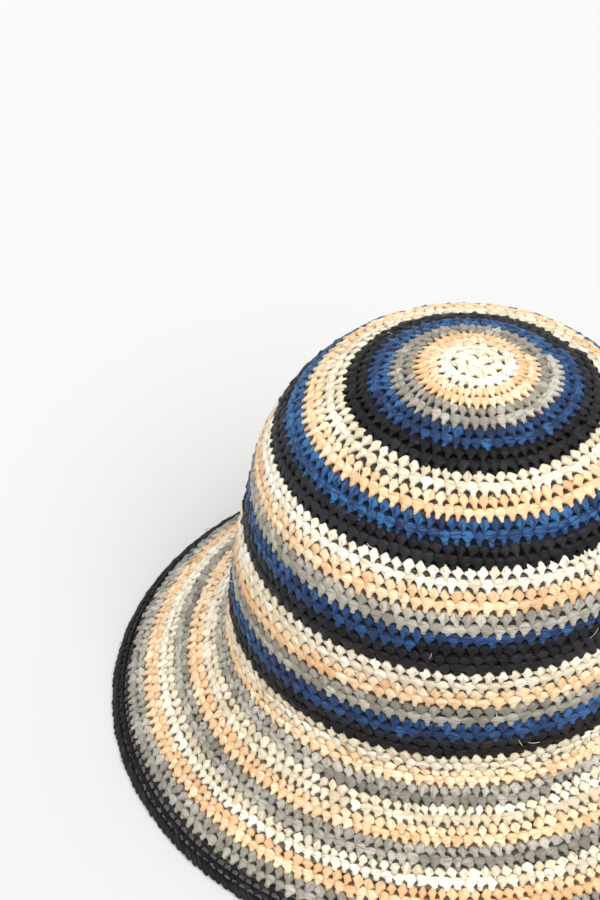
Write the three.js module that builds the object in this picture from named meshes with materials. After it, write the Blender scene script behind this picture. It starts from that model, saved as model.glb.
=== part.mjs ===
// Crochet raffia hat: a round crown, a sloping brim and a black edging, resting on its rim.
// Lengths are in millimetres and angles in degrees. +Z is up, the hat's axis is the Z axis,
// and the underside of the rim is at height zero.
import * as THREE from "three";

// Driving dimensions
const footRadius = 94; // middle of the wall where the crown meets the brim
const crownHeight = 131; // from the top of the dome down to the crown's foot
const brimReach = 56.1; // from the crown's foot out to the middle of the edge cord
const brimDrop = 54.4; // from the crown's foot down to the middle of the edge cord
const rimWidth = 9.4; // black stretch, along the slope, up to the middle of the cord
const wallThickness = 2.6; // one layer of crochet
const cordThickness = 4; // rolled cord along the edge
const pieceGap = 0.3; // clearance between neighbouring pieces

// How the soft hat departs from a round one
const crownLean = 4; // the top of the dome lies this far towards +X
const ovalDepth = 2; // the side wall is this much wider along X than the rows say
const ovalStart = 0.4; // share of the crown's height where the oval is full
const dentDepth = 4.5; // hollow in the crown's left side
const dentDown = 0.54; // its middle, as a share of the crown's height
const dentTall = 0.2; // its reach up and down, as a share of the crown's height
const dentTurn = 185; // its direction around the hat
const dentWide = 45; // its reach around the hat
const backRise = 4.5; // the dome's shoulder stands this much higher at the back
const backOut = 0.74; // that shoulder's distance from the axis, as a share of footRadius
const backWide = 0.14; // its reach in and out, as a share of footRadius
const backTurn = 80; // its direction
const waveHeight = 1.4; // how far the middle of the brim rises and dips
const waveCount = 3; // rises around the brim
const waveTurn = 35; // direction of the first rise

// How finely the curved faces are cut
const stepsAround = 64;
const crownSteps = 16;
const brimSteps = 8;
const rimSteps = 2;
const cordSides = 10;

// Crown, from the top of the dome to its foot:
// out is a share of footRadius, down is a share of crownHeight
const crownRows = [
  { out: 0.0, down: 0.0 },
  { out: 0.151, down: 0.017 },
  { out: 0.3, down: 0.044 },
  { out: 0.445, down: 0.082 },
  { out: 0.583, down: 0.129 },
  { out: 0.709, down: 0.192 },
  { out: 0.812, down: 0.273 },
  { out: 0.887, down: 0.366 },
  { out: 0.945, down: 0.466 },
  { out: 0.973, down: 0.573 },
  { out: 0.983, down: 0.681 },
  { out: 0.988, down: 0.789 },
  { out: 0.993, down: 0.896 },
  { out: 1.0, down: 1.0 },
];

// Brim, from the crown's foot to the cord:
// out is a share of brimReach, down is a share of brimDrop
const brimRows = [
  { out: 0.01, down: 0.224 },
  { out: 0.128, down: 0.403 },
  { out: 0.313, down: 0.522 },
  { out: 0.499, down: 0.638 },
  { out: 0.685, down: 0.759 },
  { out: 0.873, down: 0.886 },
  { out: 1.0, down: 1.0 },
];

const cordHeight = cordThickness / 2;
const footHeight = cordHeight + brimDrop;
const topHeight = footHeight + crownHeight;

// The line that the whole hat follows, in the middle of its wall: x is the radius, y the height
const crownPoints = crownRows.map((row) => {
  return new THREE.Vector2(row.out * footRadius, topHeight - row.down * crownHeight);
});
const brimPoints = brimRows.map((row) => {
  return new THREE.Vector2(footRadius + row.out * brimReach, footHeight - row.down * brimDrop);
});
const hatLine = new THREE.SplineCurve([...crownPoints, ...brimPoints]);
hatLine.arcLengthDivisions = 2000;
const hatLength = hatLine.getLength();
const footLength = lengthToRow(crownRows.length - 1);
const rimStart = hatLength - rimWidth;
const rimRadius = wallPoint(rimStart, -wallThickness).x; // no softening from here outwards

// Length of the hat line from the top to one of its rows
function lengthToRow(row) {
  const lengths = hatLine.getLengths();
  const share = row / (crownRows.length + brimRows.length - 1);
  return lengths[Math.round(share * hatLine.arcLengthDivisions)];
}

// A point at a length along the hat line, moved out of the wall's middle by an offset
function wallPoint(length, offset) {
  const share = THREE.MathUtils.clamp(length / hatLength, 0, 1);
  const point = hatLine.getPointAt(share);
  const along = length > 0 ? hatLine.getTangentAt(share) : new THREE.Vector2(1, 0);
  return new THREE.Vector2(point.x - along.y * offset, point.y + along.x * offset);
}

// Points of one face of the wall between two lengths
function wallFace(start, end, steps, offset) {
  const points = [];
  for (let step = 0; step <= steps; step += 1) {
    points.push(wallPoint(THREE.MathUtils.lerp(start, end, step / steps), offset));
  }
  return points;
}

// Moves a point of the round hat to its place on the soft one. Nothing moves at the rim.
function softened(point) {
  const radius = Math.hypot(point.x, point.y);
  const angle = Math.atan2(point.y, point.x);
  const crownShare = THREE.MathUtils.clamp((topHeight - point.z) / crownHeight, 0, 1);
  const brimShare = THREE.MathUtils.clamp((radius - footRadius) / (rimRadius - footRadius), 0, 1);
  const onBrim = crownShare < 1 ? 0 : brimShare;
  const oval = ovalDepth * THREE.MathUtils.smoothstep(crownShare, 0, ovalStart) * (1 - onBrim) ** 2;
  const dentAcross = turnBetween(angle, dentTurn) / THREE.MathUtils.degToRad(dentWide);
  const dentAlong = (crownShare - dentDown) / dentTall;
  const dent = dentDepth * Math.exp(-(dentAcross ** 2) - dentAlong ** 2);
  const backAcross = Math.max(Math.cos(turnBetween(angle, backTurn)), 0) ** 1.5;
  const backAlong = (radius / footRadius - backOut) / backWide;
  const rise = backRise * backAcross * Math.exp(-(backAlong ** 2));
  const waveAngle = waveCount * turnBetween(angle, waveTurn);
  const wave = waveHeight * Math.sin(Math.PI * onBrim) ** 2 * Math.cos(waveAngle);
  const newRadius = radius > 0 ? radius + oval * Math.cos(2 * angle) - dent : 0;
  point.x = newRadius * Math.cos(angle) + crownLean * (1 - crownShare);
  point.y = newRadius * Math.sin(angle);
  point.z += rise + wave;
  return point;
}

// Turn in radians from a direction in degrees to an angle in radians, the short way round
function turnBetween(angle, direction) {
  const turn = angle - THREE.MathUtils.degToRad(direction);
  return THREE.MathUtils.euclideanModulo(turn + Math.PI, 2 * Math.PI) - Math.PI;
}

// Turns a profile around the hat's axis and softens its shape
function turned(profile) {
  const geometry = new THREE.LatheGeometry(profile, stepsAround);
  geometry.rotateX(Math.PI / 2);
  const place = geometry.attributes.position;
  const point = new THREE.Vector3();
  for (let corner = 0; corner < place.count; corner += 1) {
    softened(point.fromBufferAttribute(place, corner));
    place.setXYZ(corner, point.x, point.y, point.z);
  }
  geometry.computeVertexNormals();
  return geometry;
}

function straw(color) {
  return new THREE.MeshStandardMaterial({ color, roughness: 0.75, metalness: 0 });
}

// Dome and side wall, closed on the axis above and open below
function makeCrown() {
  const end = footLength - pieceGap / 2;
  const half = wallThickness / 2;
  const outside = wallFace(0, end, crownSteps, half);
  const inside = wallFace(0, end, crownSteps, -half);
  outside[0].x = 0;
  inside[0].x = 0;
  const crown = new THREE.Mesh(turned([...inside, ...outside.reverse()]), straw(0xe3c39c));
  crown.name = "crown";
  return crown;
}

// Sloping brim between the crown's foot and the black edging
function makeBrim() {
  const start = footLength + pieceGap / 2;
  const end = rimStart - pieceGap / 2;
  const half = wallThickness / 2;
  const outside = wallFace(start, end, brimSteps, half);
  const inside = wallFace(start, end, brimSteps, -half);
  const profile = [...inside, ...outside.reverse(), inside[0].clone()];
  const brim = new THREE.Mesh(turned(profile), straw(0xd9bb98));
  brim.name = "brim";
  return brim;
}

// Corners of the cord's section, from the wall's outside face round to its inside face
function cordCorners() {
  const centre = hatLine.getPointAt(1);
  const along = hatLine.getTangentAt(1);
  const backAngle = Math.atan2(-along.y, -along.x);
  const sideAngle = (2 * Math.PI) / cordSides;
  const cornerRadius = cordThickness / 2 / Math.cos(sideAngle / 2);
  const mouthAngle = Math.asin(wallThickness / 2 / cornerRadius) + sideAngle / 4;
  const corners = [];
  for (let side = 0; side < cordSides; side += 1) {
    const angle = -Math.PI / 2 + (side + 0.5) * sideAngle;
    const fromBack = THREE.MathUtils.euclideanModulo(backAngle - angle, 2 * Math.PI);
    if (fromBack > mouthAngle && fromBack < 2 * Math.PI - mouthAngle) {
      const x = centre.x + cornerRadius * Math.cos(angle);
      const y = centre.y + cornerRadius * Math.sin(angle);
      corners.push({ fromBack, point: new THREE.Vector2(x, y) });
    }
  }
  corners.sort((first, second) => first.fromBack - second.fromBack);
  return corners.map((corner) => corner.point);
}

// Black edging: a strip of wall that ends in the rolled cord, with a flat underside
function makeRim() {
  const start = rimStart + pieceGap / 2;
  const end = hatLength - cordThickness / 2;
  const half = wallThickness / 2;
  const outside = wallFace(start, end, rimSteps, half);
  const inside = wallFace(start, end, rimSteps, -half);
  const section = [...outside, ...cordCorners(), ...inside.reverse(), outside[0].clone()];
  const rim = new THREE.Mesh(turned(section.reverse()), straw(0x242126));
  rim.name = "rim";
  return rim;
}

const hat = new THREE.Group();
hat.add(makeCrown());
hat.add(makeBrim());
hat.add(makeRim());

export default hat;
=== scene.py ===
import math
import random
import bpy
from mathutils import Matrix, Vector


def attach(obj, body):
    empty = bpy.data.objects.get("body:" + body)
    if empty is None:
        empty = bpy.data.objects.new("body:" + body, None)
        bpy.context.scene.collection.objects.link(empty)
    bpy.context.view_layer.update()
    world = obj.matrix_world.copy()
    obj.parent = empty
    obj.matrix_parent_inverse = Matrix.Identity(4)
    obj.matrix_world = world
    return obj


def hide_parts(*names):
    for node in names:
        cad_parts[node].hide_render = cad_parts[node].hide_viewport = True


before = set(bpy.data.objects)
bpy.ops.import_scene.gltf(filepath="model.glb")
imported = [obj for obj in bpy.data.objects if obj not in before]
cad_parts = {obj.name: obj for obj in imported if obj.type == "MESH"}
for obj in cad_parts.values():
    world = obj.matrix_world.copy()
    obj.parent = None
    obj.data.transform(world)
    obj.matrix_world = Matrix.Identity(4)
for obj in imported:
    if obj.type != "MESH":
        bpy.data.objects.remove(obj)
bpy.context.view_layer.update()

scene = bpy.context.scene

# The soft round form that the crochet follows. Lengths in metres, turns in degrees.
hat = {
    "footRadius": 0.094,      # middle of the fabric where the crown meets the brim
    "crownHeight": 0.131,
    "brimReach": 0.0561,
    "brimDrop": 0.0544,
    "rimWidth": 0.0094,
    "wallThickness": 0.0026,
    "cordThickness": 0.004,
    "crownLean": 0.004,       # the top leans this far towards +X
    "ovalDepth": 0.002,
    "ovalStart": 0.4,
    "dentDepth": 0.0045,      # soft hollow in the left side of the crown
    "dentDown": 0.54,
    "dentTall": 0.2,
    "dentTurn": 185,
    "dentWide": 45,
    "backRise": 0.0045,       # the shoulder of the dome stands higher at the back
    "backOut": 0.74,
    "backWide": 0.14,
    "backTurn": 80,
    "waveHeight": 0.0014,     # rise and dip of the brim
    "waveCount": 3,
    "waveTurn": 35,
    "plainRadius": 0.004,     # the oval and the dent fade out towards the middle of the dome
    "backFade": 1.5,
    "rowRounds": 3,           # crochet rounds between two rows of the tables
    "lastRounds": 2.4,        # and between the last two
    "searchStep": 0.005,      # in rounds, when the black edging's start is looked for
    "probeTurn": 0.5,         # reach to either side for the direction along a round
    "probeRounds": 0.05,      # and for the direction down
    "crownRows": [            # out as a share of footRadius, down as a share of crownHeight
        (0.0, 0.0), (0.151, 0.017), (0.3, 0.044), (0.445, 0.082), (0.583, 0.129),
        (0.709, 0.192), (0.812, 0.273), (0.887, 0.366), (0.945, 0.466), (0.973, 0.573),
        (0.983, 0.681), (0.988, 0.789), (0.993, 0.896), (1.0, 1.0),
    ],
    "brimRows": [             # out as a share of brimReach, down as a share of brimDrop
        (0.01, 0.224), (0.128, 0.403), (0.313, 0.522), (0.499, 0.638), (0.685, 0.759),
        (0.873, 0.886), (1.0, 1.0),
    ],
}

footHeight = hat["cordThickness"] / 2 + hat["brimDrop"]
topHeight = footHeight + hat["crownHeight"]
linePoints = []
for outShare, downShare in hat["crownRows"]:
    linePoints.append((outShare * hat["footRadius"], topHeight - downShare * hat["crownHeight"]))
for outShare, downShare in hat["brimRows"]:
    radius = hat["footRadius"] + outShare * hat["brimReach"]
    linePoints.append((radius, footHeight - downShare * hat["brimDrop"]))
lastRow = len(linePoints) - 1
evenRounds = (lastRow - 1) * hat["rowRounds"]
lastRound = evenRounds + hat["lastRounds"]


# Radius and height of the fabric's middle at a round, counted from the top
def linePoint(roundNumber):
    roundNumber = min(max(roundNumber, 0.0), lastRound)
    row = roundNumber / hat["rowRounds"]
    if roundNumber > evenRounds:
        row = lastRow - 1 + (roundNumber - evenRounds) / hat["lastRounds"]
    start = min(int(row), lastRow - 1)
    share = row - start
    place = []
    for axis in range(2):
        before = linePoints[max(start - 1, 0)][axis]
        first = linePoints[start][axis]
        second = linePoints[start + 1][axis]
        after = linePoints[min(start + 2, lastRow)][axis]
        leave = (second - before) / 2
        arrive = (after - first) / 2
        cubic = 2 * first - 2 * second + leave + arrive
        square = 3 * second - 3 * first - 2 * leave - arrive
        place.append(cubic * share ** 3 + square * share ** 2 + leave * share + first)
    return place


# Radius from which the brim keeps its plain round form
def findRimRadius():
    point = linePoint(lastRound)
    length = 0.0
    roundNumber = lastRound
    while length < hat["rimWidth"]:
        roundNumber -= hat["searchStep"]
        nextPoint = linePoint(roundNumber)
        stepOut = point[0] - nextPoint[0]
        stepUp = point[1] - nextPoint[1]
        length += math.hypot(stepOut, stepUp)
        point = nextPoint
    return point[0] + stepUp / math.hypot(stepOut, stepUp) * hat["wallThickness"]


rimRadius = findRimRadius()


def clamp(value, low, high):
    return min(max(value, low), high)


def smoothStep(value, low, high):
    share = clamp((value - low) / (high - low), 0.0, 1.0)
    return share * share * (3 - 2 * share)


# Turn from one direction to another in degrees, the short way round
def turnBetween(turn, direction):
    return (turn - direction + 180) % 360 - 180


# A point in the middle of the fabric, at a round and a direction
def fabricPoint(roundNumber, turn):
    radius, height = linePoint(roundNumber)
    crownShare = clamp((topHeight - height) / hat["crownHeight"], 0.0, 1.0)
    brimShare = clamp((radius - hat["footRadius"]) / (rimRadius - hat["footRadius"]), 0.0, 1.0)
    onBrim = 0.0 if crownShare < 1 else brimShare
    oval = hat["ovalDepth"] * smoothStep(crownShare, 0.0, hat["ovalStart"]) * (1 - onBrim) ** 2
    dentAcross = turnBetween(turn, hat["dentTurn"]) / hat["dentWide"]
    dentAlong = (crownShare - hat["dentDown"]) / hat["dentTall"]
    dent = hat["dentDepth"] * math.exp(-dentAcross ** 2 - dentAlong ** 2)
    waveAngle = math.radians(hat["waveCount"] * (turn - hat["waveTurn"]))
    wave = hat["waveHeight"] * math.sin(math.pi * onBrim) ** 2 * math.cos(waveAngle)
    angle = math.radians(turn)
    facingBack = math.cos(math.radians(turnBetween(turn, hat["backTurn"])))
    backAcross = max(facingBack, 0.0) ** hat["backFade"]
    backAlong = (radius / hat["footRadius"] - hat["backOut"]) / hat["backWide"]
    rise = hat["backRise"] * backAcross * math.exp(-backAlong ** 2)
    fade = clamp(radius / hat["plainRadius"], 0.0, 1.0)
    radius += (oval * math.cos(2 * angle) - dent) * fade
    lean = hat["crownLean"] * (1 - crownShare)
    return Vector((radius * math.cos(angle) + lean, radius * math.sin(angle), height + rise + wave))


# Place, direction along the round, direction outwards, and the height of one round there
def fabricFrame(roundNumber, turn):
    place = fabricPoint(roundNumber, turn)
    along = fabricPoint(roundNumber, turn + hat["probeTurn"])
    along -= fabricPoint(roundNumber, turn - hat["probeTurn"])
    low = max(roundNumber - hat["probeRounds"], 0.0)
    high = min(roundNumber + hat["probeRounds"], lastRound)
    down = (fabricPoint(high, turn) - fabricPoint(low, turn)) / (high - low)
    along.normalize()
    outward = down.cross(along).normalized()
    return place, along, outward, down.length


# Camera first, at the angle of the picture
camera = {
    "place": (-0.0659, -0.6353, 0.6734),
    "lookDown": 40,
    "lens": 80,
    "sensor": 36,
    "nearest": 0.01,
    "farthest": 50,
}


def makeCamera():
    data = bpy.data.cameras.new("hatCamera")
    data.lens = camera["lens"]
    data.sensor_width = camera["sensor"]
    data.clip_start = camera["nearest"]
    data.clip_end = camera["farthest"]
    eye = bpy.data.objects.new("hatCamera", data)
    eye.location = camera["place"]
    eye.rotation_euler = (math.radians(90 - camera["lookDown"]), 0, 0)
    scene.collection.objects.link(eye)
    scene.camera = eye


makeCamera()
print("camera ready")

# Raffia colours. Dyes run from dark to light, one colour is painted shade for the holes between
# stitches and for the darkened sides and necks of the stitches, and flecks are odd strands in the
# bundle.
raffia = {
    "cream": {
        "slot": "cream_raffia",
        "gloss": 0.25,
        "dyes": [(0.68, 0.58, 0.41), (0.85, 0.78, 0.62), (0.92, 0.88, 0.77)],
        "paintedShade": (0.030, 0.014, 0.007),
        "fleck": (0.55, 0.42, 0.24),
        "fleckShare": 0.10,
        "roughness": 0.62,
        "sheen": 0.06,
    },
    "natural": {
        "slot": "natural_raffia",
        "gloss": 0.25,
        "dyes": [(0.74, 0.45, 0.23), (0.87, 0.63, 0.38), (0.93, 0.77, 0.55)],
        "paintedShade": (0.032, 0.012, 0.005),
        "fleck": (0.74, 0.42, 0.20),
        "fleckShare": 0.14,
        "roughness": 0.6,
        "sheen": 0.08,
    },
    "grey": {
        "slot": "grey_raffia",
        "gloss": 0.25,
        "dyes": [(0.20, 0.188, 0.158), (0.36, 0.34, 0.29), (0.58, 0.55, 0.475)],
        "paintedShade": (0.010, 0.007, 0.005),
        "fleck": (0.25, 0.20, 0.14),
        "fleckShare": 0.14,
        "roughness": 0.62,
        "sheen": 0.08,
    },
    "blue": {
        "slot": "blue_raffia",
        "gloss": 0.25,
        "dyes": [(0.007, 0.020, 0.065), (0.013, 0.052, 0.16), (0.034, 0.145, 0.35)],
        "paintedShade": (0.004, 0.006, 0.02),
        "fleck": (0.006, 0.010, 0.04),
        "fleckShare": 0.2,
        "roughness": 0.5,
        "sheen": 0.04,
    },
    "black": {
        "slot": "black_raffia",
        "gloss": 0.2,
        "dyes": [(0.002, 0.002, 0.003), (0.005, 0.0045, 0.006), (0.020, 0.018, 0.022)],
        "paintedShade": (0.003, 0.002, 0.002),
        "fleck": (0.020, 0.016, 0.016),
        "fleckShare": 0.12,
        "roughness": 0.45,
        "sheen": 0.0,
    },
}


# How the strands of every colour are patterned
pattern = {
    "stretch": (9, 1.3, 1),   # fine lines run along the strand
    "ownSpread": 60,          # sets the patterns of two stitches apart
    "lineScale": 1.6,
    "lineDetail": 3,
    "lineRoughness": 0.6,
    "noiseSpan": (0.3, 0.7),  # where most values of a noise lie
    "lineSway": 0.32,         # how far the fine lines move the shade of a stitch
    "dyePlaces": (0.08, 0.5, 0.92),
    "fleckScale": 0.9,
    "fleckDetail": 1,
    "fleckSpan": (0.70, 0.78),
    "fleckCover": 0.75,
    "patchScale": 26,         # slow change of tone over the whole hat
    "patchDetail": 2,
    "patchSpan": (0.86, 1.0),
    "roughnessSway": 0.12,
    "sheenRoughness": 0.4,
    "bumpStrength": 0.7,
    "bumpHeight": 0.0006,
}


def addNode(tree, kind, **settings):
    node = tree.nodes.new(kind)
    for name, value in settings.items():
        setattr(node, name, value)
    return node


# Maps a value from one span to another
def addRange(tree, value, fromSpan, toSpan):
    node = addNode(tree, "ShaderNodeMapRange")
    for name, limit in zip(("From Min", "From Max", "To Min", "To Max"), (*fromSpan, *toSpan)):
        node.inputs[name].default_value = limit
    tree.links.new(value, node.inputs["Value"])
    return node.outputs["Result"]


def addNoise(tree, place, sort, dimensions="3D"):
    node = addNode(tree, "ShaderNodeTexNoise", noise_dimensions=dimensions)
    node.inputs["Scale"].default_value = pattern[sort + "Scale"]
    node.inputs["Detail"].default_value = pattern[sort + "Detail"]
    tree.links.new(place, node.inputs["Vector"])
    return node


# Mixes a plain colour into another, by an amount
def addTint(tree, amount, colour, tint):
    node = addNode(tree, "ShaderNodeMix", data_type="RGBA")
    tree.links.new(amount, node.inputs["Factor"])
    tree.links.new(colour, node.inputs["A"])
    node.inputs["B"].default_value = (*tint, 1)
    return node.outputs["Result"]


# Flat split strands: fine lines run along each stitch, and every stitch has its own shade
def makeRaffia(name, look):
    material = bpy.data.materials.new(name + "Raffia")
    material.use_nodes = True
    tree = material.node_tree
    tree.nodes.clear()
    links = tree.links
    output = addNode(tree, "ShaderNodeOutputMaterial")
    skin = addNode(tree, "ShaderNodeBsdfPrincipled")
    links.new(skin.outputs["BSDF"], output.inputs["Surface"])
    skin.inputs["Specular IOR Level"].default_value = look["gloss"]
    skin.inputs["Sheen Weight"].default_value = look["sheen"]
    skin.inputs["Sheen Roughness"].default_value = pattern["sheenRoughness"]

    shade = addNode(tree, "ShaderNodeAttribute", attribute_name="shade")
    grain = addNode(tree, "ShaderNodeAttribute", attribute_name="grain")
    strandMap = addNode(tree, "ShaderNodeUVMap", uv_map="strands")
    stretch = addNode(tree, "ShaderNodeMapping")
    stretch.inputs["Scale"].default_value = pattern["stretch"]
    links.new(strandMap.outputs["UV"], stretch.inputs["Vector"])
    spread = addNode(tree, "ShaderNodeMath", operation="MULTIPLY")
    spread.inputs[1].default_value = pattern["ownSpread"]
    links.new(grain.outputs["Fac"], spread.inputs[0])
    lines = addNoise(tree, stretch.outputs["Vector"], "line", "4D")
    lines.inputs["Roughness"].default_value = pattern["lineRoughness"]
    links.new(spread.outputs["Value"], lines.inputs["W"])

    # Shade of the stitch, moved a little up and down by the fine lines
    swaySpan = (-pattern["lineSway"], pattern["lineSway"])
    sway = addRange(tree, lines.outputs["Fac"], pattern["noiseSpan"], swaySpan)
    mixed = addNode(tree, "ShaderNodeMath", operation="ADD", use_clamp=True)
    links.new(shade.outputs["Fac"], mixed.inputs[0])
    links.new(sway, mixed.inputs[1])
    ramp = addNode(tree, "ShaderNodeValToRGB")
    stops = ramp.color_ramp.elements
    stops.new(pattern["dyePlaces"][1])
    for stop, place, dye in zip(stops, pattern["dyePlaces"], look["dyes"]):
        stop.position = place
        stop.color = (*dye, 1)
    links.new(mixed.outputs["Value"], ramp.inputs["Fac"])

    # Odd coloured strands here and there
    wide = addNoise(tree, stretch.outputs["Vector"], "fleck", "4D")
    links.new(spread.outputs["Value"], wide.inputs["W"])
    fleckSpan = [limit - look["fleckShare"] for limit in pattern["fleckSpan"]]
    fleck = addRange(tree, wide.outputs["Fac"], fleckSpan, (0, pattern["fleckCover"]))
    tinted = addTint(tree, fleck, ramp.outputs["Color"], look["fleck"])

    # Painted shade: the sides of a stitch, its neck and the strands seen through the holes are darkened
    # towards the shade colour
    shadeAmount = addNode(tree, "ShaderNodeAttribute", attribute_name="paintedShade")
    shadedTint = addTint(tree, shadeAmount.outputs["Fac"], tinted, look["paintedShade"])

    # Slow change of tone over the whole hat
    place = addNode(tree, "ShaderNodeTexCoord")
    patches = addNoise(tree, place.outputs["Object"], "patch")
    tone = addRange(tree, patches.outputs["Fac"], pattern["noiseSpan"], pattern["patchSpan"])
    finished = addNode(tree, "ShaderNodeVectorMath", operation="SCALE")
    links.new(shadedTint, finished.inputs[0])
    links.new(tone, finished.inputs["Scale"])
    links.new(finished.outputs["Vector"], skin.inputs["Base Color"])

    rough = look["roughness"]
    roughSpan = (rough - pattern["roughnessSway"], rough + pattern["roughnessSway"])
    roughness = addRange(tree, lines.outputs["Fac"], pattern["noiseSpan"], roughSpan)
    links.new(roughness, skin.inputs["Roughness"])
    ridges = addNode(tree, "ShaderNodeBump")
    ridges.inputs["Strength"].default_value = pattern["bumpStrength"]
    ridges.inputs["Distance"].default_value = pattern["bumpHeight"]
    links.new(lines.outputs["Fac"], ridges.inputs["Height"])
    links.new(ridges.outputs["Normal"], skin.inputs["Normal"])
    return material


materials = {}
for colour, look in raffia.items():
    materials[colour] = makeRaffia(colour, look)
print("raffia colours ready")

# Stitches. A row is height, half width, depth outwards, depth inwards and crease.
# Height counts in rounds and width in stitch widths; depth counts in fabric thicknesses.
stitch = {
    "pitch": 0.0046,          # along the round, on the dome
    "sidePitch": 0.0055,      # on the side wall
    "brimPitch": 0.0045,
    "centrePitch": 0.66,      # share of the pitch in the middle of the dome
    "domeRounds": (2.0, 11.0),    # the rounds over which each width gives way to the next
    "sideRounds": (16.0, 32.0),
    "brimRounds": (38.0, 44.0),
    "depth": 0.0027,
    "sides": 8,
    "variants": 7,
    "toothRows": [            # first round of a colour, drawn up into the round above
        (0.58, 0.20, 0.30, 0.18, 0.0),
        (0.36, 0.40, 0.54, 0.38, 0.14),
        (0.06, 0.60, 0.62, 0.44, 0.18),
        (-0.09, 0.42, 0.54, 0.40, 0.10),
        (-0.26, 0.25, 0.48, 0.34, 0.04),
        (-0.62, 0.25, 0.40, 0.26, 0.0),
    ],
    "ridgeRows": [            # later rounds, closed up side by side
        (0.59, 0.40, 0.36, 0.20, 0.0),
        (0.42, 0.62, 0.58, 0.36, 0.10),
        (0.08, 0.64, 0.64, 0.44, 0.18),
        (-0.08, 0.42, 0.54, 0.40, 0.12),
        (-0.26, 0.25, 0.48, 0.34, 0.04),
        (-0.62, 0.25, 0.40, 0.26, 0.0),
    ],
    "ropeRows": [             # black rounds, closer still
        (0.56, 0.52, 0.40, 0.20, 0.0),
        (0.42, 0.74, 0.60, 0.36, 0.06),
        (0.06, 0.74, 0.64, 0.44, 0.12),
        (-0.12, 0.44, 0.54, 0.40, 0.08),
        (-0.30, 0.29, 0.48, 0.34, 0.04),
        (-0.60, 0.28, 0.40, 0.24, 0.0),
    ],
    "openRows": [             # wide holes between the stitches of the rim
        (0.58, 0.34, 0.38, 0.26, 0.0),
        (0.44, 0.56, 0.56, 0.40, 0.0),
        (0.28, 0.60, 0.62, 0.44, 0.06),
        (0.14, 0.44, 0.54, 0.42, 0.06),
        (0.02, 0.15, 0.40, 0.26, 0.0),
        (-0.52, 0.11, 0.34, 0.20, 0.0),
    ],
    "tips": (0.70, -0.80),
    "tipDepth": 0.02,
    "flatness": 0.5,
    "leanSpan": (-0.22, 0.12),
    "tipSpan": (-0.16, 0.12),
    "creaseSpan": (-0.5, 0.5),
    "creaseMove": 0.12,
    "creaseWidth": 0.5,
    "stretchSpan": (-0.07, 0.07),
    "stretchFrom": 0.2,       # height above which a stitch is drawn up
    "rowLuck": (0.88, 1.12),
    "cornerLuck": (0.93, 1.07),
    "wideTop": 0.3,           # wider tops have their strands across the stitch
    "mapStart": 0.72,
    "mapLength": 1.4,
    "mapAcross": (0.6, 0.4),
    "mapSeam": (0.15, 0.85),
    "neckSpan": (0.2, 0.6),   # where painted shade darkens the neck, and how much
    "neckPaintedShade": 0.12,
    "sideSpan": (-0.35, 0.3),     # where painted shade darkens the sides of a stitch, and how much
    "sidePaintedShade": 0.6,
    "innerSpan": (0.3, 1.0),      # where the painted shade lifts off the inner face again, and how much
    "innerShadeLift": 0.85,
    # painted shade at the top tip and at the bottom tip
    "tipPaintedShade": (0.3, 0.5),
    "brimNeck": 1.2,          # the brim's holes are smaller
    "coreInward": 0.0004,     # top loops under the next round
    "backInward": 0.0013,     # strand across the holes on the inner side
    "backDown": 0.2,
}


# Faces of a closed shape: a tip, rings of corners around it, and a second tip
def closedFaces(rings, sides):
    faces = []
    last = 1 + (rings - 1) * sides
    for side in range(sides):
        nextSide = (side + 1) % sides
        faces.append((0, 1 + nextSide, 1 + side))
        for ring in range(rings - 1):
            upper = 1 + ring * sides
            lower = upper + sides
            faces.append((upper + side, upper + nextSide, lower + nextSide, lower + side))
        faces.append((last + side, last + nextSide, last + sides))
    return faces


def smoothMesh(name, corners, faces):
    mesh = bpy.data.meshes.new(name)
    mesh.from_pydata(corners, [], faces)
    mesh.polygons.foreach_set("use_smooth", [True] * len(mesh.polygons))
    return mesh


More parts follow.
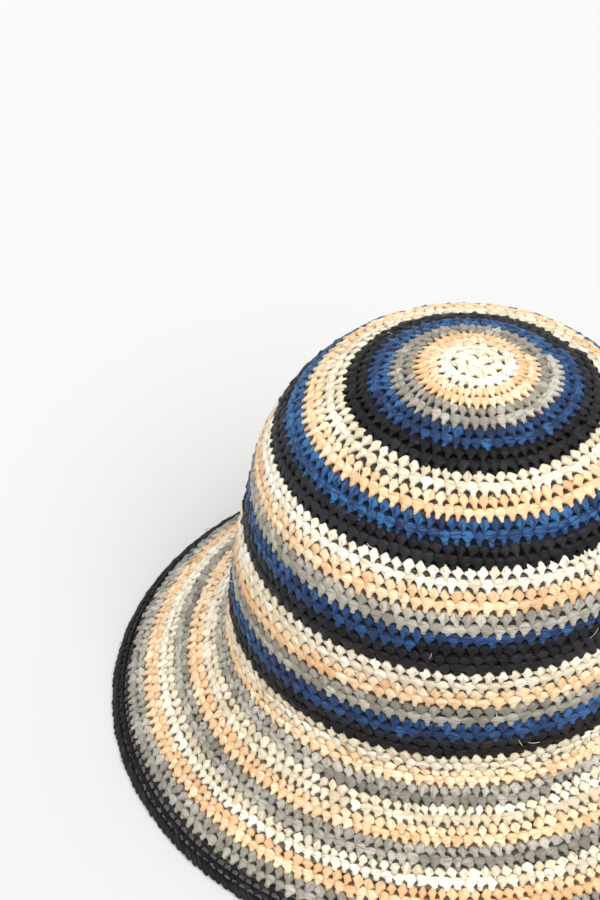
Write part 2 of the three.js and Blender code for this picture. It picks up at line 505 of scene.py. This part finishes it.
# One closed stitch, lying in XY with its outer face towards +Z
def makeStitchShape(name, rows):
    luck = random.Random(name)
    lean = luck.uniform(*stitch["leanSpan"])
    tipShift = luck.uniform(*stitch["tipSpan"])
    creaseShift = luck.uniform(*stitch["creaseSpan"]) * stitch["creaseMove"]
    stretchUp = luck.uniform(*stitch["stretchSpan"])
    sides = stitch["sides"]
    corners = [(tipShift + lean * stitch["tips"][0], stitch["tips"][0], stitch["tipDepth"])]
    strandPlaces = [(0.5, 1.0)]
    # Painted shade for every corner, kept on the mesh as an attribute
    paintedShades = [stitch["tipPaintedShade"][0]]
    for height, halfWidth, outside, inside, crease in rows:
        height += stretchUp if height > stitch["stretchFrom"] else 0.0
        halfWidth *= luck.uniform(*stitch["rowLuck"])
        outside *= luck.uniform(*stitch["rowLuck"])
        middle = lean * height + tipShift * max(height, 0) ** 2 * 2
        mapHeight = height + stitch["mapStart"]
        for side in range(sides):
            angle = math.radians(90 + side * 360 / sides)
            across = math.cos(angle)
            depth = math.sin(angle)
            swell = outside if depth > 0 else inside
            swell *= luck.uniform(*stitch["cornerLuck"])
            dip = crease * max(0.0, 1 - abs(across - creaseShift) / stitch["creaseWidth"])
            lift = swell * abs(depth) ** stitch["flatness"] - dip
            corners.append((middle + halfWidth * across, height, math.copysign(lift, depth)))
            if rows[0][1] > stitch["wideTop"]:
                mapUp, mapAcross = stitch["mapAcross"]
                strandPlaces.append((mapUp * mapHeight, 0.5 + mapAcross * across))
            else:
                strandPlaces.append((side / sides, mapHeight / stitch["mapLength"]))
            # Painted shade: the neck and the sides of the stitch are darkened, the inner face less so
            neck = smoothStep(-height, *stitch["neckSpan"]) * stitch["neckPaintedShade"]
            dyed = stitch["innerShadeLift"] * smoothStep(-depth, *stitch["innerSpan"])
            turnedIn = smoothStep(-depth, *stitch["sideSpan"]) * (1 - dyed)
            paintedShades.append(max(neck, turnedIn * stitch["sidePaintedShade"]))
    corners.append((lean * stitch["tips"][1], stitch["tips"][1], 0.0))
    strandPlaces.append((0.5, 0.0))
    paintedShades.append(stitch["tipPaintedShade"][1])
    mesh = smoothMesh(name, corners, closedFaces(len(rows), sides))
    paintedShadeLayer = mesh.attributes.new("paintedShade", "FLOAT", "POINT")
    paintedShadeLayer.data.foreach_set("value", paintedShades)
    strandLayer = mesh.uv_layers.new(name="strands")
    seamStart, seamEnd = stitch["mapSeam"]
    for face in mesh.polygons:
        places = [strandPlaces[corner] for corner in face.vertices]
        wraps = max(u for u, _ in places) > seamEnd
        for loop, (u, v) in zip(face.loop_indices, places):
            strandLayer.data[loop].uv = (u + 1.0 if wraps and u < seamStart else u, v)
    mesh.validate()
    return bpy.data.objects.new(name, mesh)


# Stitches for the first round of a colour, then those for its later rounds
def makeShapeSet(name, firstRows, laterRows):
    collection = bpy.data.collections.new(name)
    for part, rows in (("First", firstRows), ("Later", laterRows)):
        for number in range(stitch["variants"]):
            collection.objects.link(makeStitchShape(name + part + str(number), rows))
    return collection


# The same rows with wider necks
def fullNecks(rows):
    return [(row[0], row[1] * (stitch["brimNeck"] if row[0] < 0 else 1), *row[2:]) for row in rows]


shapeSets = {
    "crown": makeShapeSet("crown", stitch["toothRows"], stitch["ridgeRows"]),
    "brim": makeShapeSet("brim", fullNecks(stitch["toothRows"]), fullNecks(stitch["ridgeRows"])),
    "black": makeShapeSet("black", stitch["ridgeRows"], stitch["ropeRows"]),
    "rim": makeShapeSet("rim", stitch["openRows"], stitch["openRows"]),
}

# The work itself: one spiral, with its stripes counted in rounds from the top
work = {
    "helixStart": 0.87,       # round at direction 270 in the first turn
    "firstRound": 0.45,
    "firstStep": 60,          # between the stitches of the first turn
    "smallestRadius": 0.003,
    "evenPasses": 5,
    "crownStripes": [
        ("cream", 3), ("natural", 2), ("grey", 2), ("blue", 2), ("black", 2),
        ("cream", 2), ("natural", 2), ("blue", 2), ("black", 2),
        ("cream", 2), ("natural", 2), ("grey", 2), ("blue", 2), ("black", 2),
        ("cream", 2), ("natural", 2), ("grey", 2), ("blue", 2), ("black", 2),
    ],
    "brimStripes": [
        ("cream", 2), ("natural", 2), ("grey", 2), ("cream", 2), ("natural", 2),
        ("grey", 2), ("cream", 2), ("natural", 2), ("grey", 2),
    ],
    "rimRounds": 2,
    "cordEdge": 58.95,        # where the black rounds end against the cord
    "seamTurn": 385,          # direction of a change of colour
    "seamDrift": 3,
    "seamRhythm": 2.4,
    "oddSeams": {27: 256, 29: 306, 45: 292},
    "strays": [               # stitches of another colour: round, direction, reach, colour, shade
        (42.5, 245, 1.2, "natural", 0.5),
        (31.9, 248, 1.7, "natural", 0.0),
    ],
    "runStitches": (14, 40),  # stitches worked from one strand
    "runShade": (0.52, 0.17),     # middle and spread of a strand's shade
    "runLimits": (0.1, 0.95),
    "shadeSpread": 0.16,      # from stitch to stitch
    "wave": (0.05, 1.7, 40),      # height in rounds, pace and start of a slow rise and fall
    "jitter": (-0.04, 0.04),
    "topmost": 0.02,          # no stitch is placed above this round
    "topRounds": 4,           # stitches are drawn wider there
    "topLeast": 0.5,          # share of the pitch
    "topWidth": 1.35,
    "openBack": 0.44,         # place of the strand behind the open rounds of the rim
    "seed": 4,
}


# Stitch width at a round: fine in the centre, widest on the side wall
def findPitch(roundNumber):
    onDome = smoothStep(roundNumber, *stitch["domeRounds"])
    pitch = stitch["pitch"] * (stitch["centrePitch"] + (1 - stitch["centrePitch"]) * onDome)
    toSide = stitch["sidePitch"] - stitch["pitch"]
    toBrim = stitch["brimPitch"] - stitch["sidePitch"]
    pitch += toSide * smoothStep(roundNumber, *stitch["sideRounds"])
    pitch += toBrim * smoothStep(roundNumber, *stitch["brimRounds"])
    return pitch


# Directions of all the stitches of the spiral, each worked into the gap between two older ones
def spiralTurns(endRound):
    turns = []
    turn = 270 + (work["firstRound"] - work["helixStart"]) * 360
    turnStart = turn
    while turn < turnStart + 360:
        turns.append(turn)
        turn += work["firstStep"]
    parent = 0
    owed = 0.0
    while roundOf(turns[-1]) < endRound:
        first = len(turns)
        stop = turns[-1] + 360
        while turns[parent] + 360 < stop and parent + 1 < len(turns):
            gap = turns[parent + 1] - turns[parent]
            middle = (turns[parent] + turns[parent + 1]) / 2 + 360
            radius = linePoint(roundOf(middle))[0]
            wanted = math.degrees(findPitch(roundOf(middle)) / max(radius, work["smallestRadius"]))
            owed += gap / wanted - 1
            if owed >= 1:
                owed -= 1
                turns.append(middle - gap * 0.25)
                turns.append(middle + gap * 0.25)
            elif owed > -1:
                turns.append(middle)
            else:
                owed += 1
            parent += 1
        for _ in range(work["evenPasses"]):
            old = turns[:]
            for number in range(max(first - 2, 1), len(turns) - 1):
                turns[number] = (old[number - 1] + 2 * old[number] + old[number + 1]) / 4
    return turns


def roundOf(turn):
    return (turn - 270) / 360 + work["helixStart"]


# The round in the spiral at which the colour of a border changes
def borderRound(border):
    seam = work["oddSeams"].get(border)
    if seam is None:
        seam = work["seamTurn"] + work["seamDrift"] * math.sin(border * work["seamRhythm"])
    return border - 1 + work["helixStart"] + (seam - 270) / 360


def layStripes():
    stripes = []
    border = 0
    for part, rows in (("crown", work["crownStripes"]), ("brim", work["brimStripes"])):
        for colour, rounds in rows:
            border += rounds
            stripes.append((borderRound(border), part, colour))
    stripes.append((borderRound(border) + work["rimRounds"], "rim", "black"))
    return stripes


# All stitches of the hat, sorted by piece and colour
def layStitches():
    luck = random.Random(work["seed"])
    stripes = layStripes()
    rimStart = stripes[-2][0]
    rimEnd = stripes[-1][0]
    turns = spiralTurns(rimEnd + 0.5)
    rise, pace, start = work["wave"]
    sets = {}
    stripe = 0
    runLeft = 0
    runShade = 0.5
    for number in range(1, len(turns) - 1):
        turn = turns[number]
        roundNumber = roundOf(turn)
        while stripe < len(stripes) and roundNumber > stripes[stripe][0]:
            stripe += 1
            runLeft = 0
        if stripe == len(stripes):
            break
        _, part, colour = stripes[stripe]
        if runLeft <= 0:
            runLeft = luck.randint(*work["runStitches"])
            runShade = clamp(luck.gauss(*work["runShade"]), *work["runLimits"])
        runLeft -= 1
        shade = runShade + luck.gauss(0, work["shadeSpread"])
        for strayRound, strayTurn, strayReach, strayColour, strayShade in work["strays"]:
            near = abs(roundNumber - strayRound) < 0.5
            if near and abs(turnBetween(turn, strayTurn)) < strayReach:
                colour = strayColour
                shade = strayShade
        tall = 1.0
        wobble = rise * math.sin(math.radians(turn * pace + start)) + luck.uniform(*work["jitter"])
        place = roundNumber
        if part == "rim":
            rowsDown = 0.5 + int(roundNumber - rimStart)
            edge = roundNumber - rowsDown
            tall = (work["cordEdge"] - edge) / work["rimRounds"]
            place = edge + rowsDown * tall
            wobble = 0.0
        place = max(place + wobble, work["topmost"])
        centre, along, outward, roundHeight = fabricFrame(place, turn)
        gap = math.radians(turns[number + 1] - turns[number - 1]) / 2
        width = gap * math.hypot(centre.x, centre.y)
        if roundNumber < work["topRounds"]:
            least = stitch["pitch"] * work["topLeast"]
            width = max(gap * linePoint(roundNumber)[0], least) * work["topWidth"]
        beneath = fabricPoint(place + 0.5 * tall, turn) - outward * stitch["coreInward"]
        if part == "rim":
            behind = fabricPoint(place + work["openBack"] * tall, turn) + outward * stitch["coreInward"]
        else:
            behind = fabricPoint(place + stitch["backDown"], turn) - outward * stitch["backInward"]
        later = stripes[stripe][0] - roundNumber < 1
        item = {
            "place": centre,
            "core": beneath,
            "back": behind,
            "number": number,
            "shape": luck.randrange(stitch["variants"]) + later * stitch["variants"],
            "along": along,
            "outward": outward,
            "size": (width, roundHeight * tall, stitch["depth"]),
            "shade": clamp(shade, 0.0, 1.0),
        }
        sets.setdefault((part, colour), []).append(item)
    return sets


# Inputs of the geometry nodes, with the values that most pieces share
treeInputs = {
    "Stitches": ("Collection", None),
    "Raffia": ("Material", None),
    "Strand radius": ("Float", 0.00105),
    "Strand sides": ("Int", 5),
    # the next input sets how dark the painted shade gets on strands where they show through the holes
    "Strand depth": ("Float", 0.95),
    "Width": ("Float", 1.0),
    "Height": ("Float", 1.0),
    "Depth": ("Float", 1.0),
    "Unevenness": ("Float", 0.1),
    "Tilt": ("Float", 0.16),
    "Seed": ("Int", 0),
}
treeLook = {
    "sideTilt": 1.3,          # stitches roll more than they lean
    "mapPerMetre": 200.0,     # how much of the strand pattern goes on a metre of strand
    "darkFacing": (-0.6, 0.1),    # how far outwards a strand faces where its painted shade begins and where it is full
}
pointVectors = ("along", "outward", "size", "core", "back")


# Geometry nodes that put a stitch on every point, turned and sized by the point's own values
def makeStitchTree():
    tree = bpy.data.node_groups.new("stitchRounds", "GeometryNodeTree")
    tree.is_modifier = True
    face = tree.interface
    face.new_socket("Geometry", in_out="INPUT", socket_type="NodeSocketGeometry")
    for name, (kind, _) in treeInputs.items():
        face.new_socket(name, in_out="INPUT", socket_type="NodeSocket" + kind)
    face.new_socket("Geometry", in_out="OUTPUT", socket_type="NodeSocketGeometry")
    links = tree.links
    given = addNode(tree, "NodeGroupInput")
    result = addNode(tree, "NodeGroupOutput")

    def pointValue(name, kind):
        node = addNode(tree, "GeometryNodeInputNamedAttribute", data_type=kind)
        node.inputs["Name"].default_value = name
        return node.outputs["Attribute"]

    def mathNode(operation, first, second):
        node = addNode(tree, "ShaderNodeMath", operation=operation)
        for socket, value in zip(node.inputs, (first, second)):
            if isinstance(value, (int, float)):
                socket.default_value = value
            else:
                links.new(value, socket)
        return node.outputs["Value"]

    turned = addNode(tree, "FunctionNodeAxesToRotation", primary_axis="Z", secondary_axis="X")
    links.new(pointValue("outward", "FLOAT_VECTOR"), turned.inputs["Primary Axis"])
    links.new(pointValue("along", "FLOAT_VECTOR"), turned.inputs["Secondary Axis"])

    # Every stitch leans and rolls a little
    tiltSpan = addNode(tree, "ShaderNodeCombineXYZ")
    sideTilt = mathNode("MULTIPLY", given.outputs["Tilt"], treeLook["sideTilt"])
    for axis, span in (("X", given.outputs["Tilt"]), ("Y", sideTilt), ("Z", given.outputs["Tilt"])):
        links.new(span, tiltSpan.inputs[axis])
    tiltBack = addNode(tree, "ShaderNodeVectorMath", operation="SCALE")
    tiltBack.inputs["Scale"].default_value = -1
    links.new(tiltSpan.outputs["Vector"], tiltBack.inputs[0])
    tilt = addNode(tree, "FunctionNodeRandomValue", data_type="FLOAT_VECTOR")
    links.new(tiltBack.outputs["Vector"], tilt.inputs["Min"])
    links.new(tiltSpan.outputs["Vector"], tilt.inputs["Max"])
    links.new(given.outputs["Seed"], tilt.inputs["Seed"])
    tiltTurn = addNode(tree, "FunctionNodeEulerToRotation")
    links.new(tilt.outputs["Value"], tiltTurn.inputs["Euler"])
    leaning = addNode(tree, "FunctionNodeRotateRotation", rotation_space="LOCAL")
    links.new(turned.outputs["Rotation"], leaning.inputs["Rotation"])
    links.new(tiltTurn.outputs["Rotation"], leaning.inputs["Rotate By"])

    # Size from the place in the work, with some unevenness
    low = mathNode("SUBTRACT", 1.0, given.outputs["Unevenness"])
    high = mathNode("ADD", 1.0, given.outputs["Unevenness"])
    uneven = addNode(tree, "FunctionNodeRandomValue", data_type="FLOAT_VECTOR")
    for limit, value in (("Min", low), ("Max", high)):
        span = addNode(tree, "ShaderNodeCombineXYZ")
        for axis in "XYZ":
            links.new(value, span.inputs[axis])
        links.new(span.outputs["Vector"], uneven.inputs[limit])
    links.new(mathNode("ADD", given.outputs["Seed"], 7), uneven.inputs["Seed"])
    wanted = addNode(tree, "ShaderNodeCombineXYZ")
    for axis, name in (("X", "Width"), ("Y", "Height"), ("Z", "Depth")):
        links.new(given.outputs[name], wanted.inputs[axis])
    sized = addNode(tree, "ShaderNodeVectorMath", operation="MULTIPLY")
    links.new(pointValue("size", "FLOAT_VECTOR"), sized.inputs[0])
    links.new(wanted.outputs["Vector"], sized.inputs[1])
    loose = addNode(tree, "ShaderNodeVectorMath", operation="MULTIPLY")
    links.new(sized.outputs["Vector"], loose.inputs[0])
    links.new(uneven.outputs["Value"], loose.inputs[1])

    shapes = addNode(tree, "GeometryNodeCollectionInfo")
    shapes.inputs["Separate Children"].default_value = True
    shapes.inputs["Reset Children"].default_value = True
    links.new(given.outputs["Stitches"], shapes.inputs["Collection"])
    laid = addNode(tree, "GeometryNodeInstanceOnPoints")
    laid.inputs["Pick Instance"].default_value = True
    links.new(given.outputs["Geometry"], laid.inputs["Points"])
    links.new(shapes.outputs["Instances"], laid.inputs["Instance"])
    links.new(pointValue("shape", "INT"), laid.inputs["Instance Index"])
    links.new(leaning.outputs["Rotation"], laid.inputs["Rotation"])
    links.new(loose.outputs["Vector"], laid.inputs["Scale"])

    # A number of its own for every stitch, for the strand pattern
    own = addNode(tree, "FunctionNodeRandomValue", data_type="FLOAT")
    links.new(mathNode("ADD", given.outputs["Seed"], 29), own.inputs["Seed"])
    marked = addNode(tree, "GeometryNodeStoreNamedAttribute", data_type="FLOAT", domain="INSTANCE")
    marked.inputs["Name"].default_value = "grain"
    links.new(laid.outputs["Instances"], marked.inputs["Geometry"])
    links.new(own.outputs["Value"], marked.inputs["Value"])
    solid = addNode(tree, "GeometryNodeRealizeInstances")
    links.new(marked.outputs["Geometry"], solid.inputs["Geometry"])

    # Two strands follow the round, one under the stitches and one behind them
    bothLines = addNode(tree, "GeometryNodeJoinGeometry")
    for name in ("back", "core"):
        lowered = addNode(tree, "GeometryNodeSetPosition")
        links.new(given.outputs["Geometry"], lowered.inputs["Geometry"])
        links.new(pointValue(name, "FLOAT_VECTOR"), lowered.inputs["Position"])
        links.new(lowered.outputs["Geometry"], bothLines.inputs["Geometry"])
    path = addNode(tree, "GeometryNodeMeshToCurve")
    links.new(bothLines.outputs["Geometry"], path.inputs["Mesh"])

    def keepValue(geometry, name, value):
        node = addNode(tree, "GeometryNodeStoreNamedAttribute", data_type="FLOAT", domain="POINT")
        node.inputs["Name"].default_value = name
        links.new(geometry, node.inputs["Geometry"])
        links.new(value, node.inputs["Value"])
        return node.outputs["Geometry"]

    ring = addNode(tree, "GeometryNodeCurvePrimitiveCircle")
    links.new(given.outputs["Strand sides"], ring.inputs["Resolution"])
    links.new(given.outputs["Strand radius"], ring.inputs["Radius"])
    onPath = addNode(tree, "GeometryNodeSplineParameter")
    patternLength = mathNode("MULTIPLY", onPath.outputs["Length"], treeLook["mapPerMetre"])
    longPath = keepValue(path.outputs["Curve"], "lengthAlong", patternLength)
    roundRing = keepValue(ring.outputs["Curve"], "aroundStrand", onPath.outputs["Factor"])
    swept = addNode(tree, "GeometryNodeCurveToMesh")
    swept.inputs["Fill Caps"].default_value = True
    links.new(longPath, swept.inputs["Curve"])
    links.new(roundRing, swept.inputs["Profile Curve"])
    unrolled = addNode(tree, "ShaderNodeCombineXYZ")
    links.new(pointValue("aroundStrand", "FLOAT"), unrolled.inputs["X"])
    links.new(pointValue("lengthAlong", "FLOAT"), unrolled.inputs["Y"])
    mapped = addNode(tree, "GeometryNodeStoreNamedAttribute", data_type="FLOAT2", domain="CORNER")
    mapped.inputs["Name"].default_value = "strands"
    links.new(swept.outputs["Mesh"], mapped.inputs["Geometry"])
    links.new(unrolled.outputs["Vector"], mapped.inputs["Value"])
    grained = keepValue(mapped.outputs["Geometry"], "grain", pointValue("shade", "FLOAT"))

    # Painted shade: the side of a strand that shows through the holes is darkened, its inner side keeps
    # the dye
    facing = addNode(tree, "ShaderNodeVectorMath", operation="DOT_PRODUCT")
    links.new(addNode(tree, "GeometryNodeInputNormal").outputs["Normal"], facing.inputs[0])
    links.new(pointValue("outward", "FLOAT_VECTOR"), facing.inputs[1])
    facingOut = addNode(tree, "ShaderNodeMapRange")
    for name, limit in zip(("From Min", "From Max"), treeLook["darkFacing"]):
        facingOut.inputs[name].default_value = limit
    links.new(facing.outputs["Value"], facingOut.inputs["Value"])
    links.new(given.outputs["Strand depth"], facingOut.inputs["To Max"])
    strands = keepValue(grained, "paintedShade", facingOut.outputs["Result"])
    joined = addNode(tree, "GeometryNodeJoinGeometry")
    links.new(strands, joined.inputs["Geometry"])
    links.new(solid.outputs["Geometry"], joined.inputs["Geometry"])
    dyed = addNode(tree, "GeometryNodeSetMaterial")
    links.new(joined.outputs["Geometry"], dyed.inputs["Geometry"])
    links.new(given.outputs["Raffia"], dyed.inputs["Material"])
    links.new(dyed.outputs["Geometry"], result.inputs["Geometry"])
    return tree


stitchTree = makeStitchTree()


# Points that carry the values of their stitches
def makePoints(name, items):
    mesh = bpy.data.meshes.new(name)
    edges = []
    for number in range(len(items) - 1):
        if items[number + 1]["number"] == items[number]["number"] + 1:
            edges.append((number, number + 1))
    mesh.from_pydata([item["place"] for item in items], edges, [])
    for key in pointVectors:
        layer = mesh.attributes.new(key, "FLOAT_VECTOR", "POINT")
        values = [part for item in items for part in item[key]]
        layer.data.foreach_set("vector", values)
    shades = mesh.attributes.new("shade", "FLOAT", "POINT")
    shades.data.foreach_set("value", [item["shade"] for item in items])
    shapes = mesh.attributes.new("shape", "INT", "POINT")
    shapes.data.foreach_set("value", [item["shape"] for item in items])
    return mesh


# Works the stitches of one piece and returns it as a plain mesh
def workPiece(name, items, colour, settings):
    piece = bpy.data.objects.new(name, makePoints(name, items))
    scene.collection.objects.link(piece)
    modifier = piece.modifiers.new("rounds", "NODES")
    modifier.node_group = stitchTree
    values = {key: value for key, (_, value) in treeInputs.items()}
    values.update(settings)
    values["Raffia"] = materials[colour]
    for socket in stitchTree.interface.items_tree:
        if socket.in_out == "INPUT" and socket.name in values:
            modifier[socket.identifier] = values[socket.name]
    bpy.context.view_layer.update()
    depsgraph = bpy.context.evaluated_depsgraph_get()
    worked = piece.evaluated_get(depsgraph)
    mesh = bpy.data.meshes.new_from_object(worked, preserve_all_data_layers=True, depsgraph=depsgraph)
    piece.modifiers.remove(modifier)
    piece.data = mesh
    mesh.name = name
    for key in (*pointVectors, "shape", "lengthAlong", "aroundStrand"):
        if key in mesh.attributes:
            mesh.attributes.remove(mesh.attributes[key])
    triangles = sum(len(face.vertices) - 2 for face in mesh.polygons)
    print(name, len(items), "stitches", triangles, "triangles")
    return piece


def finishPiece(piece, colour, *nodes):
    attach(piece, "root")
    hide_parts(*nodes)


# Where a kind of piece differs from the shared inputs
pieceSettings = {
    "crown": {},
    # the brim's stitches are more uneven and tilted, and its strands get a little less painted shade
    "brim": {"Unevenness": 0.17, "Tilt": 0.28, "Strand depth": 0.85},
    "black": {"Unevenness": 0.12, "Tilt": 0.17},
    "rim": {"Width": 0.92, "Depth": 0.55, "Unevenness": 0.20, "Strand radius": 0.0005},
}
firstSeed = 10
seedStep = 40

seed = firstSeed
for (part, colour), items in sorted(layStitches().items()):
    kind = "black" if (part, colour) == ("crown", "black") else part
    settings = {**pieceSettings[kind], "Stitches": shapeSets[kind], "Seed": seed}
    seed += seedStep
    piece = workPiece(part + colour.capitalize(), items, colour, settings)
    finishPiece(piece, colour, part)
print("rounds worked")

# Rolled edge: short slanted turns of strand, lapped like a rope
cord = {
    "turns": 262,
    "thickness": 0.0038,
    "slant": 32,
    "longShare": 1.9,
    "wideShare": 0.86,
    "variants": 4,
    "sides": 9,
    "ringLuck": (0.94, 1.06),
    "shade": (0.5, 0.2),      # middle and spread
    "seed": 31,
    "settings": {"Unevenness": 0.12, "Tilt": 0.12, "Seed": 500},
    "rings": [                # height along the turn and share of its thickness
        (0.42, 0.52), (0.28, 0.84), (0.08, 1.0), (-0.12, 1.0), (-0.30, 0.84), (-0.43, 0.50),
    ],
}


# One closed turn of strand, its long side along Y
def makeCordShape(number):
    name = "cordTurn" + str(number)
    luck = random.Random("cord" + str(number))
    sides = cord["sides"]
    corners = [(0.0, 0.5, 0.0)]
    for height, share in cord["rings"]:
        share *= luck.uniform(*cord["ringLuck"])
        for side in range(sides):
            angle = 2 * math.pi * side / sides
            corners.append((0.5 * share * math.cos(angle), height, 0.5 * share * math.sin(angle)))
    corners.append((0.0, -0.5, 0.0))
    faces = closedFaces(len(cord["rings"]), sides)
    mesh = smoothMesh(name, corners, faces)
    strandLayer = mesh.uv_layers.new(name="strands")
    for loop in mesh.loops:
        corner = mesh.vertices[loop.vertex_index].co
        turn = math.atan2(corner.z, corner.x) / (2 * math.pi) + 0.5
        strandLayer.data[loop.index].uv = (turn, corner.y + 0.5)
    return bpy.data.objects.new(name, mesh)


def makeCord():
    shapes = bpy.data.collections.new("cordTurns")
    for number in range(cord["variants"]):
        shapes.objects.link(makeCordShape(number))
    luck = random.Random(cord["seed"])
    slant = math.radians(cord["slant"])
    wide = cord["thickness"]
    size = (wide * cord["wideShare"], wide * cord["longShare"], wide)
    items = []
    for number in range(cord["turns"]):
        turn = number * 360 / cord["turns"]
        place, along, outward, _ = fabricFrame(lastRound, turn)
        down = along.cross(outward)
        # the long side of a turn of strand runs aslant across the cord
        longSide = (along * math.cos(slant) + down * math.sin(slant)).normalized()
        items.append({
            "place": place,
            "core": place,
            "back": place,
            "shape": number % cord["variants"],
            "number": number * 2,
            "along": longSide.cross(outward),
            "outward": outward,
            "size": size,
            "shade": clamp(luck.gauss(*cord["shade"]), 0, 1),
        })
    settings = {**pieceSettings["rim"], **cord["settings"], "Stitches": shapes}
    piece = workPiece("rimCord", items, "black", settings)
    finishPiece(piece, "black", "rim")


makeCord()
print("edge rolled")

# Ends of split raffia that stand off the work
loose = {
    "radius": 0.00013,
    "steps": 4,
    "sides": 3,
    "lift": 0.0013,
    "arch": 2.4,
    "curl": (-0.5, 0.5),
    "tip": 0.12,
    "shades": (0.5, 1.0),
    "sorts": [                # part, colour, rounds they start in, how many, and their length
        ("crown", "cream", (9, 39), 46, (0.002, 0.006)),
        ("brim", "natural", (40, 57), 34, (0.002, 0.005)),
        ("rim", "black", (57.4, 59.2), 60, (0.0015, 0.004)),
    ],
}


def makeLooseEnds(part, colour, rounds, count, lengths):
    name = part + "Loose"
    luck = random.Random(name)
    sides = loose["sides"]
    corners = []
    faces = []
    places = []
    shades = []
    for number in range(count):
        start, along, outward, _ = fabricFrame(luck.uniform(*rounds), luck.uniform(0, 360))
        heading = luck.uniform(0, 2 * math.pi)
        ahead = along * math.cos(heading) + along.cross(outward) * math.sin(heading)
        aside = ahead.cross(outward)
        length = luck.uniform(*lengths)
        curl = luck.uniform(*loose["curl"])
        first = len(corners)
        corners.append(start)
        for step in range(loose["steps"]):
            share = (step + 0.5) / loose["steps"]
            middle = start + ahead * length * share + aside * length * curl * share ** 2
            middle += outward * loose["lift"] * (1 + math.sin(share * loose["arch"]))
            for side in range(sides):
                turn = side * 2 * math.pi / sides
                spread = aside * math.cos(turn) + outward * math.sin(turn)
                corners.append(middle + spread * loose["radius"])
        corners.append(middle + ahead * length * loose["tip"])
        last = len(corners) - 1
        for side in range(sides):
            nextSide = (side + 1) % sides
            faces.append((first, first + 1 + side, first + 1 + nextSide))
            for step in range(loose["steps"] - 1):
                near = first + 1 + step * sides
                far = near + sides
                faces.append((near + side, far + side, far + nextSide, near + nextSide))
            faces.append((last, last - sides + nextSide, last - sides + side))
        places += [(luck.random(), luck.random())] * (last + 1 - first)
        shades += [luck.uniform(*loose["shades"])] * (last + 1 - first)
    mesh = smoothMesh(name, corners, faces)
    mesh.attributes.new("shade", "FLOAT", "POINT").data.foreach_set("value", shades)
    strandLayer = mesh.uv_layers.new(name="strands")
    for loop in mesh.loops:
        strandLayer.data[loop.index].uv = places[loop.vertex_index]
    mesh.materials.append(materials[colour])
    piece = bpy.data.objects.new(name, mesh)
    scene.collection.objects.link(piece)
    finishPiece(piece, colour, part)


for sort in loose["sorts"]:
    makeLooseEnds(*sort)
print("loose ends laid")

# Pale floor and soft studio light
studio = {
    "floorColour": (0.6, 0.6, 0.605),
    "floorRoughness": 0.9,
    "floorGloss": 0.1,
    "floorReach": 40.0,
    "skyColour": (1.0, 1.0, 1.0),
    "skyStrength": 0.92,
    "lights": [               # direction it comes from, strength, width in degrees, colour
        ((0.4, -0.95, 1.5), 2.3, 50, (1.0, 0.985, 0.965)),
        ((-0.6, 1.0, 1.2), 0.35, 50, (0.97, 0.98, 1.0)),
    ],
}


def makeStudio():
    mesh = bpy.data.meshes.new("floor")
    reach = studio["floorReach"]
    corners = [(-reach, -reach, 0), (reach, -reach, 0), (reach, reach, 0), (-reach, reach, 0)]
    mesh.from_pydata(corners, [], [(0, 1, 2, 3)])
    floor = bpy.data.objects.new("floor", mesh)
    scene.collection.objects.link(floor)
    paint = bpy.data.materials.new("floorPaint")
    paint.use_nodes = True
    skin = paint.node_tree.nodes["Principled BSDF"]
    skin.inputs["Base Color"].default_value = (*studio["floorColour"], 1)
    skin.inputs["Roughness"].default_value = studio["floorRoughness"]
    skin.inputs["Specular IOR Level"].default_value = studio["floorGloss"]
    mesh.materials.append(paint)
    world = bpy.data.worlds.new("studio")
    world.use_nodes = True
    sky = world.node_tree.nodes["Background"]
    sky.inputs["Color"].default_value = (*studio["skyColour"], 1)
    sky.inputs["Strength"].default_value = studio["skyStrength"]
    scene.world = world
    for number, (source, strength, width, colour) in enumerate(studio["lights"]):
        data = bpy.data.lights.new("window" + str(number), "SUN")
        data.angle = math.radians(width)
        data.energy = strength
        data.color = colour
        lamp = bpy.data.objects.new("window" + str(number), data)
        lamp.location = source
        lamp.rotation_euler = (-Vector(source)).to_track_quat("-Z", "Y").to_euler()
        scene.collection.objects.link(lamp)
    scene.view_settings.view_transform = "Standard"


makeStudio()
print("studio ready")
